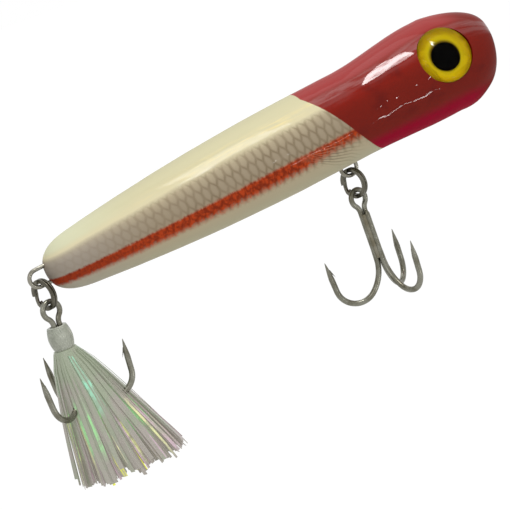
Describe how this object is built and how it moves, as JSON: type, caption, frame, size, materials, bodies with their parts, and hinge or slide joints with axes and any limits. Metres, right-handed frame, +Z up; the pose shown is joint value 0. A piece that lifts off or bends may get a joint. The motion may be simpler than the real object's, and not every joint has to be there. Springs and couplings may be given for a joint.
{
  "type": "topwater popper",
  "caption": "Topwater fishing popper: moulded hollow body with cupped mouth, domed eyes, wire hangers, split rings and treble hooks, the rear hook dressed with a tinsel skirt.",
  "frame": {"origin": "centre of the line tie's eye in the mouth cup", "axes": "+X towards the head, +Z up, +Y to the lure's left; the body rides nose-up and the hooks hang straight down"},
  "size_m": [0.1186, 0.023, 0.0653],
  "materials": {
    "body": "gloss lacquer over pearl and red paint",
    "iris": "gloss",
    "pupil": "gloss",
    "lens": "clear",
    "wire": "bright wire",
    "weight": "plain",
    "ball": "bright",
    "hook": "satin tin plate",
    "braze": "satin",
    "thread": "lacquered thread",
    "tinsel": "iridescent film"
  },
  "bodies": {
    "body": {"left_body_half": "body", "right_body_half": "body", "nose_line_tie": "wire", "belly_hanger": "wire", "tail_hanger": "wire", "tail_ballast": "weight", "left_eye_iris": "iris", "left_eye_pupil": "pupil", "left_eye_lens": "lens", "right_eye_iris": "iris", "right_eye_pupil": "pupil", "right_eye_lens": "lens"},
    "rear_rattle": {"rear_rattle_ball": "ball"},
    "front_rattle": {"front_rattle_ball": "ball"},
    "belly_ring": {"belly_split_ring": "hook"},
    "belly_hook": {"belly_hook_pair": "hook", "belly_hook_single": "hook", "belly_hook_braze": "braze"},
    "tail_ring": {"tail_split_ring": "hook"},
    "tail_hook": {"tail_hook_pair": "hook", "tail_hook_single": "hook", "tail_hook_braze": "braze", "thread_collar": "thread", "tinsel_skirt": "tinsel"}
  },
  "joints": [
    {"name": "rear_rattle_roll", "type": "slide", "parent": "body", "child": "rear_rattle", "axis": [0.9954, 0, 0.0958], "range_m": [0, 0.0051]},
    {"name": "front_rattle_roll", "type": "slide", "parent": "body", "child": "front_rattle", "axis": [0.9954, 0, 0.0958], "range_m": [0, 0.0051]},
    {"name": "belly_ring_swing", "type": "hinge", "parent": "body", "child": "belly_ring", "pos_m": [-0.03681, 0, -0.01494], "axis": [1, 0, 0], "range_deg": [-45, 45]},
    {"name": "belly_hook_swing", "type": "hinge", "parent": "belly_ring", "child": "belly_hook", "pos_m": [-0.03681, 0, -0.01964], "axis": [-0.4226, 0.9063, 0], "range_deg": [-60, 60]},
    {"name": "tail_ring_swing", "type": "hinge", "parent": "body", "child": "tail_ring", "pos_m": [-0.10738, 0, -0.01184], "axis": [1, 0, 0], "range_deg": [-45, 45]},
    {"name": "tail_hook_swing", "type": "hinge", "parent": "tail_ring", "child": "tail_hook", "pos_m": [-0.10738, 0, -0.01654], "axis": [-0.4226, 0.9063, 0], "range_deg": [-40, 60]}
  ]
}
